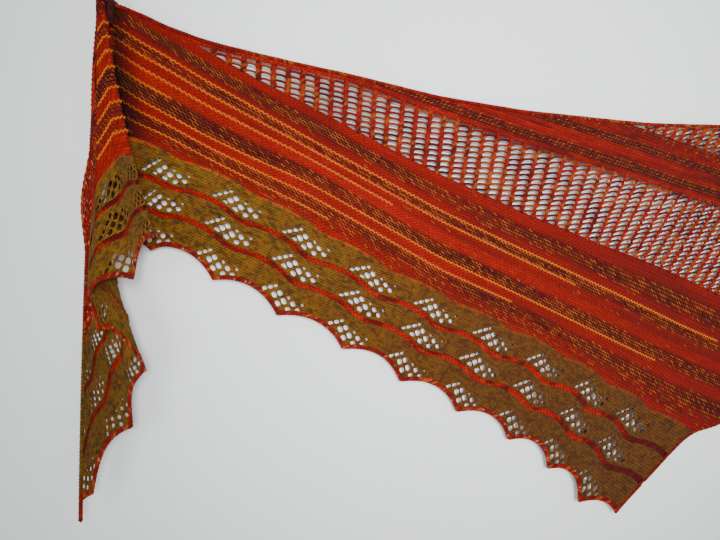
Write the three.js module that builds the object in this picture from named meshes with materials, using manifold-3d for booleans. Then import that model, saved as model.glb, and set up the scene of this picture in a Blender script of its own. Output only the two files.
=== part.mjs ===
// A hand-knitted asymmetric triangle shawl, hung on two wall hooks.
// Millimetres, +Z up, +X to the right, and the wall is the plane y = 0 behind it. The origin is the middle of
// the flat back of the left hook, which holds the shawl. Every depth below is a distance out from that wall.
// The shawl hangs from a point on its long top edge. To the right it is a flat panel, and to the left the
// spare cloth falls from the hook in a fan of folds: front flap, turned-back layer, hanging tail.
import * as THREE from "three";
import { mergeVertices } from "three/addons/utils/BufferGeometryUtils.js";
import Module from "manifold-3d";

// Driving sizes
const wallThickness = 2;
const seamGap = 0.3;
const repeatWidth = 73; // one scallop of the lace border
const scallopDepth = 13; // how far the edge draws in between two points
const bindOffWidth = 5;
const bindOffThickness = 3.4;
const ridgeWidth = 7.5;
const ridgeThickness = 4.2;
const ridgeTwoPlace = 0.37; // ridges, as fractions of the way from the border to the top of the lace
const ridgeOnePlace = 0.67;
const ridgeWave = 8; // how far the ridges rise between the border's points
const hemWave = 5;
const selvedgeWidth = 5;
const neckBottom = -40; // below this height the fan's folds are separate walls
const neckTop = 11;
const pegRadius = 2.5;
const pegHole = 3.1;
const holeHeight = 4.6; // half the height of the gap round the left peg, which the cloth's weight draws long
const pegLength = 44;
const knobRadius = 4.2;
const plateRadius = 9;
const plateThickness = 4;
const startCornerX = 1240;
const rightHookX = 1228;
const rightHookZ = -20;
const rightPegLength = 24;
const panelDepth = 9; // from the wall to the middle of the flat panel's cloth
const laceHeight = 97; // the border's lace on the flat panel
const holeMargin = 0.065; // eyelets keep this part of a repeat off a fold
const neckRight = 15; // the flat panel's cloth starts to the right of the gathered neck here
const selvedgeBack = 1.2; // the top edge's cord, from the panel's middle to its back, sides and crown
const selvedgeFront = 1.6;
const selvedgeCrown = 2.2;
const thinnestBand = 0.8; // a band of the panel ends where it gets this low
const endStep = 0.5; // no station lies nearer than this to the end of a band
const justBefore = 0.01; // the panel's top steps up from the neck to the selvedge between these two places
const justAfter = 1;
const selvedgeStart = neckRight + 2;
const farOff = 900; // beyond every edge of the cloth

// The bound-off edge from the hanging corner to the far corner, one row for each point and fold. repeat counts
// scallops; apexX and apexDepth say where that line of stitches would reach the hook's height; lace is the part
// of that line which is lace, and bow bends the line sideways half-way up.
const foldedEdge = [
  { repeat: -0.41, x: -19.5, depth: 34, z: -509, apexX: -5, apexDepth: 16, lace: 0.31, bow: -3 },
  { repeat: 0, x: -8, depth: 36, z: -483, apexX: -4.5, apexDepth: 16, lace: 0.33, bow: -4 },
  { repeat: 1, x: 29, depth: 41, z: -420, apexX: -4, apexDepth: 16.5, lace: 0.39, bow: -13 },
  { repeat: 1.95, x: 40, depth: 44, z: -368, apexX: -3, apexDepth: 17, lace: 0.33, bow: -24 },
  { repeat: 2, x: 43, depth: 48, z: -366, apexX: -1.4, apexDepth: 19.5, lace: 0.32, bow: -26 },
  { repeat: 2.05, x: 40, depth: 52, z: -364, apexX: -3, apexDepth: 22, lace: 0.33, bow: -24 },
  { repeat: 3, x: 2, depth: 60, z: -328, apexX: -4, apexDepth: 23.5, lace: 0.36, bow: 0 },
  { repeat: 3.15, x: -1, depth: 61, z: -319, apexX: -4.5, apexDepth: 24, lace: 0.31, bow: 0 },
  { repeat: 3.28, x: -5, depth: 62, z: -311, apexX: -5, apexDepth: 24.5, lace: 0.22, bow: 2 },
  { repeat: 3.33, x: -8, depth: 66, z: -306, apexX: -5.5, apexDepth: 27, lace: 0.18, bow: 2 },
  { repeat: 3.38, x: -6.5, depth: 70, z: -303, apexX: -6, apexDepth: 29.5, lace: 0.22, bow: 2 },
  { repeat: 3.5, x: 0, depth: 70, z: -297, apexX: -5, apexDepth: 30, lace: 0.33, bow: 0 },
  { repeat: 4, x: 32, depth: 62, z: -280, apexX: -3, apexDepth: 29.5, lace: 0.4, bow: -3 },
  { repeat: 4.95, x: 49, depth: 48, z: -242, apexX: -1, apexDepth: 29, lace: 0.32, bow: -6 },
  { repeat: 5, x: 51.5, depth: 43, z: -240, apexX: 0, apexDepth: 26.5, lace: 0.32, bow: -6 },
  { repeat: 5.05, x: 48, depth: 38, z: -241, apexX: -0.5, apexDepth: 23.5, lace: 0.33, bow: -6 },
  { repeat: 5.45, x: 27, depth: 28, z: -253, apexX: 1, apexDepth: 17, lace: 0.38, bow: -3 },
  { repeat: 5.8, x: 6, depth: 20, z: -264, apexX: -1, apexDepth: 14, lace: 0.43, bow: 0 },
];

// The flat panel's border, one row for each point of the edge and the top of the lace above it.
const flatEdge = [
  { repeat: 6.06, x: -7, z: -270, hemX: 6, hemZ: -138 },
  { repeat: 7, x: 41, z: -248, hemX: 71, hemZ: -160 },
  { repeat: 8, x: 102, z: -281, hemX: 144, hemZ: -193 },
  { repeat: 9, x: 167, z: -318, hemX: 217, hemZ: -233 },
  { repeat: 10, x: 237, z: -355, hemX: 291, hemZ: -273 },
  { repeat: 11, x: 300, z: -392, hemX: 362, hemZ: -307 },
  { repeat: 12, x: 365, z: -428, hemX: 429, hemZ: -339 },
  { repeat: 13, x: 426, z: -462, hemX: 491, hemZ: -369 },
  { repeat: 14, x: 474, z: -497, hemX: 550, hemZ: -404 },
  { repeat: 15, x: 511, z: -539, hemX: 602, hemZ: -434 },
  { repeat: 15.75, x: 548, z: -565, hemX: 658, hemZ: -467 },
];

// Heights of the flat panel's lines at stations across it: the sagging top edge, the two net bands, and the
// far side from the lower corner up to the start corner.
const panelLines = [
  { x: -40, top: 0, netOneTop: 0, netOne: 10, netTwoTop: 0, netTwo: 0, side: -800 },
  { x: 6, top: -6, netOneTop: 0, netOne: 0, netTwoTop: 0, netTwo: 0, side: -800 },
  { x: 26, top: -12, netOneTop: 0, netOne: -10, netTwoTop: 0, netTwo: 0, side: -800 },
  { x: 56, top: -25, netOneTop: 0, netOne: -26, netTwoTop: 0, netTwo: 0, side: -800 },
  { x: 96, top: -37, netOneTop: -30, netOne: -48, netTwoTop: 0, netTwo: 0, side: -800 },
  { x: 146, top: -46, netOneTop: -52, netOne: -73, netTwoTop: 0, netTwo: 0, side: -800 },
  { x: 196, top: -54, netOneTop: -61, netOne: -95, netTwoTop: 0, netTwo: 0, side: -800 },
  { x: 246, top: -61, netOneTop: -71, netOne: -119, netTwoTop: 0, netTwo: 0, side: -800 },
  { x: 346, top: -79, netOneTop: -101, netOne: -165, netTwoTop: 0, netTwo: 0, side: -800 },
  { x: 446, top: -90, netOneTop: -129, netOne: -206, netTwoTop: 0, netTwo: -60, side: -680 },
  { x: 548, top: -95, netOneTop: -155, netOne: -243, netTwoTop: -40, netTwo: -92, side: -565 },
  { x: 603, top: -97, netOneTop: -168, netOne: -261, netTwoTop: -60, netTwo: -107, side: -503 },
  { x: 646, top: -96, netOneTop: -180, netOne: -277, netTwoTop: -70, netTwo: -117, side: -474 },
  { x: 706, top: -94, netOneTop: -194, netOne: -301, netTwoTop: -82, netTwo: -133, side: -457 },
  { x: 796, top: -92, netOneTop: -226, netOne: -338, netTwoTop: -100, netTwo: -160, side: -398 },
  { x: 896, top: -84, netOneTop: -262, netOne: -376, netTwoTop: -124, netTwo: -190, side: -325 },
  { x: 996, top: -68, netOneTop: -298, netOne: -412, netTwoTop: -150, netTwo: -222, side: -242 },
  { x: 1096, top: -46, netOneTop: -334, netOne: -448, netTwoTop: -178, netTwo: -252, side: -152 },
  { x: 1196, top: -18, netOneTop: -370, netOne: -484, netTwoTop: -206, netTwo: -282, side: -62 },
  { x: 1250, top: 0, netOneTop: -390, netOne: -504, netTwoTop: -220, netTwo: -300, side: -16 },
];

// The largest open stitches of one repeat, in a slanted lattice round each point's line of stitches. A step to
// the next column goes along and up, one to the next row along and down, in parts of a repeat and of the lace.
const lattice = { firstAlong: -0.31, columnAlong: 0.069, columnUp: 0.049, rowAlong: 0.118, rowUp: -0.05 };
const eyeletSize = 5.2;
const eyelets = {
  lace_band_1: { middle: 0.86, cells: [[1, 0], [1, 1], [2, 1], [1, 2], [2, 2]] },
  lace_band_2: { middle: 0.55, cells: [[1, 0], [1, 1], [2, 1], [1, 2], [2, 2]] },
  lace_band_3: { middle: 0.2, cells: [[1, 1], [2, 1], [1, 2], [2, 2]] },
};

// The gathered neck's outline, from its lower left corner over the peg to its lower right corner. Each row is a
// curve's pull point and its end.
const neckStart = { x: -14, z: neckBottom + seamGap };
const neckCurves = [
  { pullX: -9, pullZ: -20, x: -8.5, z: 0 },
  { pullX: -8, pullZ: neckTop, x: 0, z: neckTop },
  { pullX: 7, pullZ: neckTop, x: 8, z: 0 },
  { pullX: 9, pullZ: -18, x: neckRight - 1, z: neckBottom + seamGap },
];
const holeRim = 0.5; // the grooves stop this far from the gap round the peg
const neckDepths = { backBelow: 6.5, frontBelow: 36, backAtPeg: 9, frontAtPeg: 27, layers: 8, groove: 0.9 };

// The flat panel's bands, and where along the panel each may lie.
const bands = {
  lower_body: { from: 9, to: 900, rows: 5 },
  net_band_1: { from: 60, to: 1100, rows: 2 },
  middle_body: { from: 140, to: 1100, rows: 2 },
  net_band_2: { from: 560, to: 1200, rows: 1 },
  start_corner: { from: 700, to: startCornerX, rows: 1 },
};

const materials = {
  body: new THREE.MeshStandardMaterial({ color: 0x9c2a16, roughness: 0.95 }),
  net: new THREE.MeshStandardMaterial({ color: 0x8c2414, roughness: 0.95 }),
  lace: new THREE.MeshStandardMaterial({ color: 0x6e561c, roughness: 0.95 }),
  ridge: new THREE.MeshStandardMaterial({ color: 0xa62a12, roughness: 0.95 }),
  edge: new THREE.MeshStandardMaterial({ color: 0xb04418, roughness: 0.95 }),
  hook: new THREE.MeshStandardMaterial({ color: 0xf2f0ea, roughness: 0.4 }),
};

const shawl = new THREE.Group();
function add(name, geometry, material) {
  const mesh = new THREE.Mesh(geometry, material);
  mesh.name = name;
  shawl.add(mesh);
}

// Linear reading of one column of a table whose rows are ordered by another.
function readRow(table, key, at, column) {
  let i = 1;
  while (i < table.length - 1 && table[i][key] < at) i++;
  const [low, high] = [table[i - 1], table[i]];
  const share = (at - low[key]) / (high[key] - low[key]);
  return low[column] + (high[column] - low[column]) * share;
}

// How much of the scallop's wave there is at a place along the border: 0 at its points, 1 between them.
function wave(repeat) {
  const part = repeat - Math.floor(repeat);
  return 4 * part * (1 - part);
}

// A gentle swell keeps the panel from lying dead flat on the wall.
function swell(x, z) {
  return panelDepth + 1.6 * Math.sin(x / 75 + 0.6) + 1.2 * Math.sin(z / 60 + x / 180);
}

// The two sheets of lace: folded gives a point from the hanging corner to the hidden fold behind the flap, and
// flat goes on from there. place runs from 0 at the border's points to 1 at the top of the lace.
function foldedPoint(repeat, place) {
  const read = (column) => readRow(foldedEdge, "repeat", repeat, column);
  const reach = 1 - place * read("lace");
  const x = read("apexX") + (read("x") - read("apexX")) * reach + 4 * read("bow") * reach * (1 - reach);
  const depth = read("apexDepth") + (read("depth") - read("apexDepth")) * reach;
  return new THREE.Vector3(x, -depth, read("z") * reach);
}

function flatPoint(repeat, place) {
  const read = (column) => readRow(flatEdge, "repeat", repeat, column);
  const x = read("x") + (read("hemX") - read("x")) * place;
  const z = read("z") + (read("hemZ") - read("z")) * place;
  return new THREE.Vector3(x, -swell(x, z), z);
}

function laceLength(sheet, repeat) {
  return sheet(repeat, 0).distanceTo(sheet(repeat, 1));
}

// Stations along a sheet's border: a few for each scallop and one on every row of its table.
function stationsOf(table) {
  const perRepeat = 4;
  const apart = 0.12;
  const [first, last] = [table[0].repeat, table.at(-1).repeat];
  const stations = table.map((row) => row.repeat);
  for (let k = Math.ceil(first * perRepeat); k <= last * perRepeat; k++) {
    if (stations.every((s) => Math.abs(s - k / perRepeat) > apart)) stations.push(k / perRepeat);
  }
  return stations.sort((a, b) => a - b);
}

// Outward direction of a sheet at a station, lengthened at a fold so that the wall keeps its thickness.
function offsetAt(sheet, stations, i, place) {
  const step = 0.05;
  const longest = 1.7;
  const flattest = 0.5;
  const here = sheet(stations[i], place);
  const up = sheet(stations[i], place + step).sub(sheet(stations[i], place - step));
  const sides = [];
  if (i > 0) sides.push(here.clone().sub(sheet(stations[i - 1], place)));
  if (i < stations.length - 1) sides.push(sheet(stations[i + 1], place).sub(here));
  const normals = sides.map((way) => way.cross(up).normalize());
  const sum = normals.reduce((a, b) => a.clone().add(b)).normalize();
  return sum.multiplyScalar(Math.min(longest, 1 / Math.max(flattest, sum.dot(normals[0]))));
}

function offsetBetween(sheet, stations, station, place) {
  const next = Math.max(1, stations.findIndex((s) => s >= station - 1e-9));
  const share = (station - stations[next - 1]) / (stations[next] - stations[next - 1]);
  return offsetAt(sheet, stations, next - 1, place).lerp(offsetAt(sheet, stations, next, place), share);
}

function solidFrom(points, faces) {
  const geometry = new THREE.BufferGeometry();
  geometry.setAttribute("position", new THREE.Float32BufferAttribute(points.flatMap((p) => [p.x, p.y, p.z]), 3));
  geometry.setIndex(faces.flat());
  return geometry;
}

// A closed wall through a grid of columns: each column is a closed loop of points round the wall's section.
function loftLoops(loops) {
  const around = loops[0].length;
  const faces = [];
  for (let i = 0; i < loops.length - 1; i++) {
    for (let j = 0; j < around; j++) {
      const a = i * around + j;
      const b = i * around + ((j + 1) % around);
      faces.push([a, b, a + around], [b, b + around, a + around]);
    }
  }
  const last = (loops.length - 1) * around;
  for (let j = 1; j < around - 1; j++) {
    faces.push([0, j + 1, j], [last, last + j, last + j + 1]);
  }
  return solidFrom(loops.flat(), faces);
}

// A raised strip that follows the lace: low and high are its edges as functions of the station.
function raisedStrip(sheet, stations, low, high, thickness) {
  const half = wallThickness / 2;
  return loftLoops(
    stations.map((station, i) => {
      const [from, to] = [low(station), high(station)];
      const section = [
        { place: from, out: -half },
        { place: to, out: -half },
        { place: to, out: half },
        { place: (from + to) / 2, out: thickness - half },
        { place: from, out: half },
      ];
      return section.map(({ place, out }) =>
        sheet(station, place).addScaledVector(offsetAt(sheet, stations, i, place), out),
      );
    }),
  );
}

// A flat-faced band of lace, with its eyelets cut through. Between two stations it is one plate.
function lacePlates(sheet, fine, stations, low, high, holes) {
  const points = [];
  const faces = [];
  const half = wallThickness / 2;
  const known = new Map();
  function pointAt(i, share, place, side) {
    const key = [i, share.toFixed(4), place.toFixed(5), side].join();
    if (!known.has(key)) {
      const [from, to] = [stations[i], stations[i + 1] ?? stations[i]];
      const station = from + (to - from) * share;
      const offset = offsetBetween(sheet, fine, station, place);
      known.set(key, points.length);
      points.push(sheet(station, place).addScaledVector(offset, side * half));
    }
    return known.get(key);
  }
  const pointsOf = (loop, side) => loop.map(({ i, share, place }) => pointAt(i, share, place, side));
  function wallOf(loop) {
    const [front, back] = [pointsOf(loop, 1), pointsOf(loop, -1)];
    for (let k = 0; k < loop.length; k++) {
      const next = (k + 1) % loop.length;
      if (loop[k].open || (loop[k].i !== loop[next].i && !loop[k].edge)) continue;
      faces.push([front[k], back[k], back[next]], [front[k], back[next], front[next]]);
    }
  }
  for (let i = 0; i < stations.length - 1; i++) {
    const [from, to] = [stations[i], stations[i + 1]];
    const shares = fine.filter((s) => s > from && s < to).map((s) => (s - from) / (to - from));
    const along = (line) =>
      shares.map((share) => ({ i, share, place: line(from + (to - from) * share), edge: true }));
    const corner = (at, edge, open, end) => ({ i: at, share: 0, place: end(stations[at]), edge, open });
    const outline = [
      corner(i, true, false, low),
      ...along(low),
      corner(i + 1, false, i + 1 < stations.length - 1, low),
      corner(i + 1, true, false, high),
      ...along(high).reverse(),
      corner(i, false, i > 0, high),
    ];
    const inside = [];
    for (const point of [Math.floor(from), Math.floor(from) + 1]) {
      for (const [column, row] of holes.cells) {
        const at = point + lattice.firstAlong + column * lattice.columnAlong + row * lattice.rowAlong;
        const place = holes.middle + (column - 1.5) * lattice.columnUp + (row - 1.5) * lattice.rowUp;
        if (at > from + holeMargin && at < to - holeMargin) inside.push(holeLoop(at, place, i, from, to));
      }
    }
    const flatten = ({ i: at, share, place }) =>
      new THREE.Vector2((stations[at] + (to - from) * share) * repeatWidth, place * laceHeight);
    const rings = [outline, ...inside];
    const flat = rings.flat();
    const triangles = THREE.ShapeUtils.triangulateShape(outline.map(flatten), inside.map((r) => r.map(flatten)));
    for (const [a, b, c] of triangles) {
      const pick = (k, side) => pointAt(flat[k].i, flat[k].share, flat[k].place, side);
      faces.push([pick(a, 1), pick(b, 1), pick(c, 1)], [pick(a, -1), pick(c, -1), pick(b, -1)]);
    }
    rings.forEach(wallOf);
  }
  return solidFrom(points, faces);
}

// The four corners of one eyelet, as a slightly slanted diamond.
function holeLoop(at, middle, i, from, to) {
  const halfAlong = eyeletSize / 2 / repeatWidth;
  const halfUp = eyeletSize / 2 / laceHeight;
  const corners = [
    [-1, -0.35],
    [-0.35, 1],
    [1, 0.35],
    [0.35, -1],
  ];
  return corners.map(([along, up]) => ({
    i,
    share: (at + along * halfAlong - from) / (to - from),
    place: middle + up * halfUp,
    edge: true,
  }));
}

// The lace border's parts, each from its lower to its upper line.
function laceLines(sheet) {
  const gap = (s) => seamGap / 2 / laceLength(sheet, s);
  const edgeLow = (s) => (scallopDepth * wave(s)) / laceHeight;
  const edgeHigh = (s) => edgeLow(s) + bindOffWidth / laceHeight;
  const ridge = (middle, side) => (s) => middle + (ridgeWave * wave(s) + (side * ridgeWidth) / 2) / laceHeight;
  const hem = (s) => 1 + (hemWave * wave(s)) / laceHeight;
  const inset = (line, side) => (s) => line(s) + side * gap(s);
  const lines = [
    edgeLow,
    edgeHigh,
    ridge(ridgeTwoPlace, -1),
    ridge(ridgeTwoPlace, 1),
    ridge(ridgeOnePlace, -1),
    ridge(ridgeOnePlace, 1),
    hem,
  ];
  const between = (k) => [k === 0 ? lines[0] : inset(lines[k], 1), inset(lines[k + 1], -1)];
  return {
    bind_off_edge: between(0),
    lace_band_3: between(1),
    ridge_2: between(2),
    lace_band_2: between(3),
    ridge_1: between(4),
    lace_band_1: between(5),
    hem,
  };
}

function buildBorder(sheet, table, prefix) {
  const lines = laceLines(sheet);
  const fine = stationsOf(table);
  const isRow = (s) => table.some((row) => row.repeat === s);
  const nearRow = (s) => table.some((row) => row.repeat !== s && Math.abs(row.repeat - s) < 0.1);
  const stations = fine.filter((s) => (isRow(s) && (s % 1 !== 0 || nearRow(s))) || s % 1 === 0.5);
  const stripOf = (name, thickness, material) =>
    add(prefix + name, raisedStrip(sheet, fine, ...lines[name], thickness), material);
  stripOf("bind_off_edge", bindOffThickness, materials.edge);
  stripOf("ridge_2", ridgeThickness, materials.ridge);
  stripOf("ridge_1", ridgeThickness, materials.ridge);
  for (const name of ["lace_band_1", "lace_band_2", "lace_band_3"]) {
    add(prefix + name, lacePlates(sheet, fine, stations, ...lines[name], eyelets[name]), materials.lace);
  }
}

buildBorder(foldedPoint, foldedEdge, "folded_");
buildBorder(flatPoint, flatEdge, "flat_");

// The striped cloth of the fan, above its lace and up to the gathered neck at the hook.
function foldedBody() {
  const stations = stationsOf(foldedEdge);
  const hem = laceLines(foldedPoint).hem;
  const rows = 4;
  const loops = stations.map((station, i) => {
    const lace = readRow(foldedEdge, "repeat", station, "lace");
    const drop = readRow(foldedEdge, "repeat", station, "z");
    const from = hem(station) + seamGap / 2 / laceLength(foldedPoint, station);
    const to = (1 - neckBottom / drop) / lace;
    const loop = [];
    for (const side of [-1, 1]) {
      for (let j = 0; j <= rows; j++) {
        const share = side < 0 ? j / rows : 1 - j / rows;
        const place = from + (to - from) * share;
        const out = offsetAt(foldedPoint, stations, i, place);
        out.z = j === (side < 0 ? rows : 0) ? 0 : out.z;
        loop.push(foldedPoint(station, place).addScaledVector(out, (side * wallThickness) / 2));
      }
    }
    return loop;
  });
  return loftLoops(loops);
}
add("folded_body", foldedBody(), materials.body);

// Lines of the flat panel as functions of x.
const lineOf = (column) => (x) => readRow(panelLines, "x", x, column);
const topEdge = lineOf("top");
const farSide = lineOf("side");
const underSelvedge = (x) => (x < neckRight ? neckBottom + seamGap / 2 : topEdge(x) - selvedgeWidth);
const flatHem = laceLines(flatPoint).hem;
const hemLine = stationsOf(flatEdge).map((s) => {
  const point = flatPoint(s, flatHem(s));
  return { x: point.x, z: point.z };
});
const hemEnd = hemLine.at(-1).x;
const hemAt = (x) => (x > hemEnd ? -farOff : readRow(hemLine, "x", x, "z"));

// A band of the flat panel between two lines, kept inside the far side and the top selvedge.
function panelBand(lower, upper, { from, to, rows }) {
  const low = (x) => Math.max(lower(x), farSide(x)) + seamGap / 2;
  const high = (x) => Math.min(upper(x), underSelvedge(x)) - seamGap / 2;
  const open = (x) => high(x) - low(x) > thinnestBand;
  const inside = [];
  const crossings = [];
  const meets = (x) => [lower(x) > farSide(x), upper(x) < underSelvedge(x)].join();
  for (let x = from; x <= to; x += 1) {
    if (open(x)) inside.push(x);
    if (meets(x) !== meets(x - 1)) crossings.push(x - 0.5);
  }
  const [start, end] = [inside[0], inside.at(-1)];
  const rowPlaces = [...panelLines, ...hemLine].map((row) => row.x);
  const kinks = [neckRight - justBefore, neckRight + justAfter, ...crossings, ...rowPlaces];
  const stations = [start, ...kinks.filter((x) => x > start + endStep && x < end - endStep), end];
  stations.sort((a, b) => a - b);
  const loops = stations.map((x) => {
    const loop = [];
    for (const layer of [-1, 1]) {
      for (let j = 0; j <= rows; j++) {
        const share = layer < 0 ? j / rows : 1 - j / rows;
        const z = low(x) + (high(x) - low(x)) * share;
        loop.push(new THREE.Vector3(x, -swell(x, z) - (layer * wallThickness) / 2, z));
      }
    }
    return loop;
  });
  return loftLoops(loops);
}

const netOne = lineOf("netOne");
const netOneTop = lineOf("netOneTop");
const netTwo = lineOf("netTwo");
const netTwoTop = lineOf("netTwoTop");
add("lower_body", panelBand(hemAt, netOne, bands.lower_body), materials.body);
add("net_band_1", panelBand(netOne, netOneTop, bands.net_band_1), materials.net);
add("middle_body", panelBand(netOneTop, netTwo, bands.middle_body), materials.body);
add("net_band_2", panelBand(netTwo, netTwoTop, bands.net_band_2), materials.net);

const wasm = await Module();
wasm.setup();
function toManifold(geometry) {
  const bare = geometry.index ? geometry.toNonIndexed() : geometry.clone();
  bare.deleteAttribute("normal");
  bare.deleteAttribute("uv");
  const merged = mergeVertices(bare, 1e-4);
  return new wasm.Manifold(
    new wasm.Mesh({
      numProp: 3,
      vertProperties: merged.attributes.position.array,
      triVerts: new Uint32Array(merged.index.array),
    }),
  );
}
function fromManifold(manifold) {
  const mesh = manifold.getMesh();
  const geometry = new THREE.BufferGeometry();
  geometry.setAttribute("position", new THREE.BufferAttribute(mesh.vertProperties, 3));
  geometry.setIndex(new THREE.BufferAttribute(mesh.triVerts, 1));
  return geometry;
}

// The start corner is cut for the right hook's peg, which the edge of the cut rests on.
const corner = toManifold(panelBand(netTwoTop, () => farOff, bands.start_corner));
const cutLength = 2 * rightPegLength;
const cut = new THREE.CylinderGeometry(pegHole, pegHole, cutLength, 16);
cut.translate(rightHookX, -cutLength / 2, rightHookZ - seamGap);
add("start_corner", fromManifold(corner.subtract(toManifold(cut))), materials.body);

// The selvedge along the top edge, a rounded cord of cloth.
function topSelvedge() {
  const loops = [];
  const kinks = [...panelLines, ...hemLine].map((p) => p.x);
  const inside = kinks.filter((x) => x > selvedgeStart + 1 && x < startCornerX - 1).sort((a, b) => a - b);
  for (const x of [selvedgeStart, ...inside, startCornerX]) {
    const [high, low] = [topEdge(x), topEdge(x) - selvedgeWidth + seamGap];
    const depth = swell(x, high);
    loops.push([
      new THREE.Vector3(x, selvedgeBack - depth, low),
      new THREE.Vector3(x, selvedgeBack - depth, high),
      new THREE.Vector3(x, -depth - selvedgeFront, high),
      new THREE.Vector3(x, -depth - selvedgeCrown, (low + high) / 2),
      new THREE.Vector3(x, -depth - selvedgeFront, low),
    ]);
  }
  return loftLoops(loops);
}
add("top_selvedge", topSelvedge(), materials.edge);

// The gathered neck, where all the folds bunch up and hook over the left peg.
function neck() {
  const outline = new THREE.Shape();
  outline.moveTo(neckStart.x, neckStart.z);
  for (const { pullX, pullZ, x, z } of neckCurves) outline.quadraticCurveTo(pullX, pullZ, x, z);
  const hole = new THREE.Path();
  hole.absellipse(0, pegRadius + seamGap - holeHeight, pegHole, holeHeight, 0, Math.PI * 2, false);
  outline.holes.push(hole);
  const geometry = new THREE.ExtrudeGeometry(outline, {
    depth: 1,
    steps: neckDepths.layers,
    bevelEnabled: false,
    curveSegments: 6,
  });
  // The bunch is deep where the folds leave it and flatter at the peg, with a groove between two layers.
  const place = geometry.attributes.position;
  for (let i = 0; i < place.count; i++) {
    const [x, z, share] = [place.getX(i), place.getY(i), place.getZ(i)];
    const rise = THREE.MathUtils.clamp((z - neckBottom) / -neckBottom, 0, 1);
    const back = THREE.MathUtils.lerp(neckDepths.backBelow, neckDepths.backAtPeg, rise);
    const front = THREE.MathUtils.lerp(neckDepths.frontBelow, neckDepths.frontAtPeg, rise);
    const groove = Math.round(share * neckDepths.layers) % 2 === 0 ? neckDepths.groove : 1;
    const nearHole = Math.abs(x) < pegHole + holeRim && Math.abs(z) < pegHole + holeHeight;
    place.setXYZ(i, nearHole ? x : x * groove, -(back + (front - back) * share), z);
  }
  return geometry;
}
add("gathered_neck", neck(), materials.body);

// Each hook is a round plate on the wall with a straight peg and a round knob at its end, turned in one piece.
function hook(x, z, length) {
  const profile = [
    [0, 0],
    [plateRadius, 0],
    [plateRadius, plateThickness],
    [pegRadius, plateThickness],
  ];
  const neckAngle = Math.asin(pegRadius / knobRadius);
  const steps = 6;
  for (let k = 0; k <= steps; k++) {
    const angle = Math.PI - neckAngle - ((Math.PI - neckAngle) * k) / steps;
    profile.push([knobRadius * Math.sin(angle), length + knobRadius * Math.cos(angle)]);
  }
  profile.at(-1)[0] = 0;
  const geometry = new THREE.LatheGeometry(profile.map(([r, y]) => new THREE.Vector2(r, y)), 20);
  return geometry.rotateX(Math.PI).translate(x, 0, z);
}
add("left_wall_hook", hook(0, 0, pegLength), materials.hook);
add("right_wall_hook", hook(rightHookX, rightHookZ, rightPegLength), materials.hook);

export default shawl;
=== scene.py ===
import math

import bpy
import numpy as np
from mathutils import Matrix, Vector
from mathutils.geometry import delaunay_2d_cdt


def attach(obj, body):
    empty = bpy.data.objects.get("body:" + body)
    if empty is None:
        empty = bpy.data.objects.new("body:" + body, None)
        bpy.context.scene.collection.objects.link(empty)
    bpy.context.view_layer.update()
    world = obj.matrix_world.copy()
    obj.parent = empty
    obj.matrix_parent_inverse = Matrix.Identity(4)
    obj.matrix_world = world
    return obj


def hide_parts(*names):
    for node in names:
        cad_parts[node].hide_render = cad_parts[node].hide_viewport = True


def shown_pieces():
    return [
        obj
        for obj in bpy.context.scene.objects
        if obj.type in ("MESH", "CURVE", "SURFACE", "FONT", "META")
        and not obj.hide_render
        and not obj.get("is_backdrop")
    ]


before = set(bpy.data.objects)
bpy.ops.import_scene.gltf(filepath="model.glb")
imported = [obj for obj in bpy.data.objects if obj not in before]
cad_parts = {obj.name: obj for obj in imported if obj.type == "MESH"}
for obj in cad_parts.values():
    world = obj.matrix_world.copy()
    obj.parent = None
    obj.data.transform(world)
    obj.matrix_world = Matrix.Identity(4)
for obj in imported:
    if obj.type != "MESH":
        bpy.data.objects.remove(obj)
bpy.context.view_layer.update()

# Every length below is in millimetres in the shared frame. The wall is y = 0, the cloth hangs in front of it
# at y = -depth, and the origin is the middle of the left hook's flat back. makeMesh scales to metres.
metresPerMillimetre = 0.001
repeatWidth = 73
laceHeight = 97
scallopDepth = 13
ridgeWave = 8
hemWave = 5
ridgePlaces = {"ridge_2": 0.37, "ridge_1": 0.67}
fullTurn = 2 * math.pi


def columns(names, rows):
    values = np.array(rows, float)
    return {name: values[:, k] for k, name in enumerate(names.split())}


# The bound-off edge of the fan of folds at the hook, from the hanging corner to the fold behind the flap.
foldedEdge = columns("repeat x depth z apexX apexDepth lace bow", [
    (-0.41, -19.5, 34, -509, -5, 16, 0.31, -3),
    (0, -8, 36, -483, -4.5, 16, 0.33, -4),
    (1, 29, 41, -420, -4, 16.5, 0.39, -13),
    (1.95, 40, 44, -368, -3, 17, 0.33, -24),
    (2, 43, 48, -366, -1.4, 19.5, 0.32, -26),
    (2.05, 40, 52, -364, -3, 22, 0.33, -24),
    (3, 2, 60, -328, -4, 23.5, 0.36, 0),
    (3.15, -1, 61, -319, -4.5, 24, 0.31, 0),
    (3.28, -5, 62, -311, -5, 24.5, 0.22, 2),
    (3.33, -8, 66, -306, -5.5, 27, 0.18, 2),
    (3.38, -6.5, 70, -303, -6, 29.5, 0.22, 2),
    (3.5, 0, 70, -297, -5, 30, 0.33, 0),
    (4, 32, 62, -280, -3, 29.5, 0.4, -3),
    (4.95, 49, 48, -242, -1, 29, 0.32, -6),
    (5, 51.5, 43, -240, 0, 26.5, 0.32, -6),
    (5.05, 48, 38, -241, -0.5, 23.5, 0.33, -6),
    (5.45, 27, 28, -253, 1, 17, 0.38, -3),
    (5.8, 6, 20, -264, -1, 14, 0.43, 0),
    (6.1, -4, 6.5, -268, 12, 6.5, 0.43, 0),
])

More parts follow.
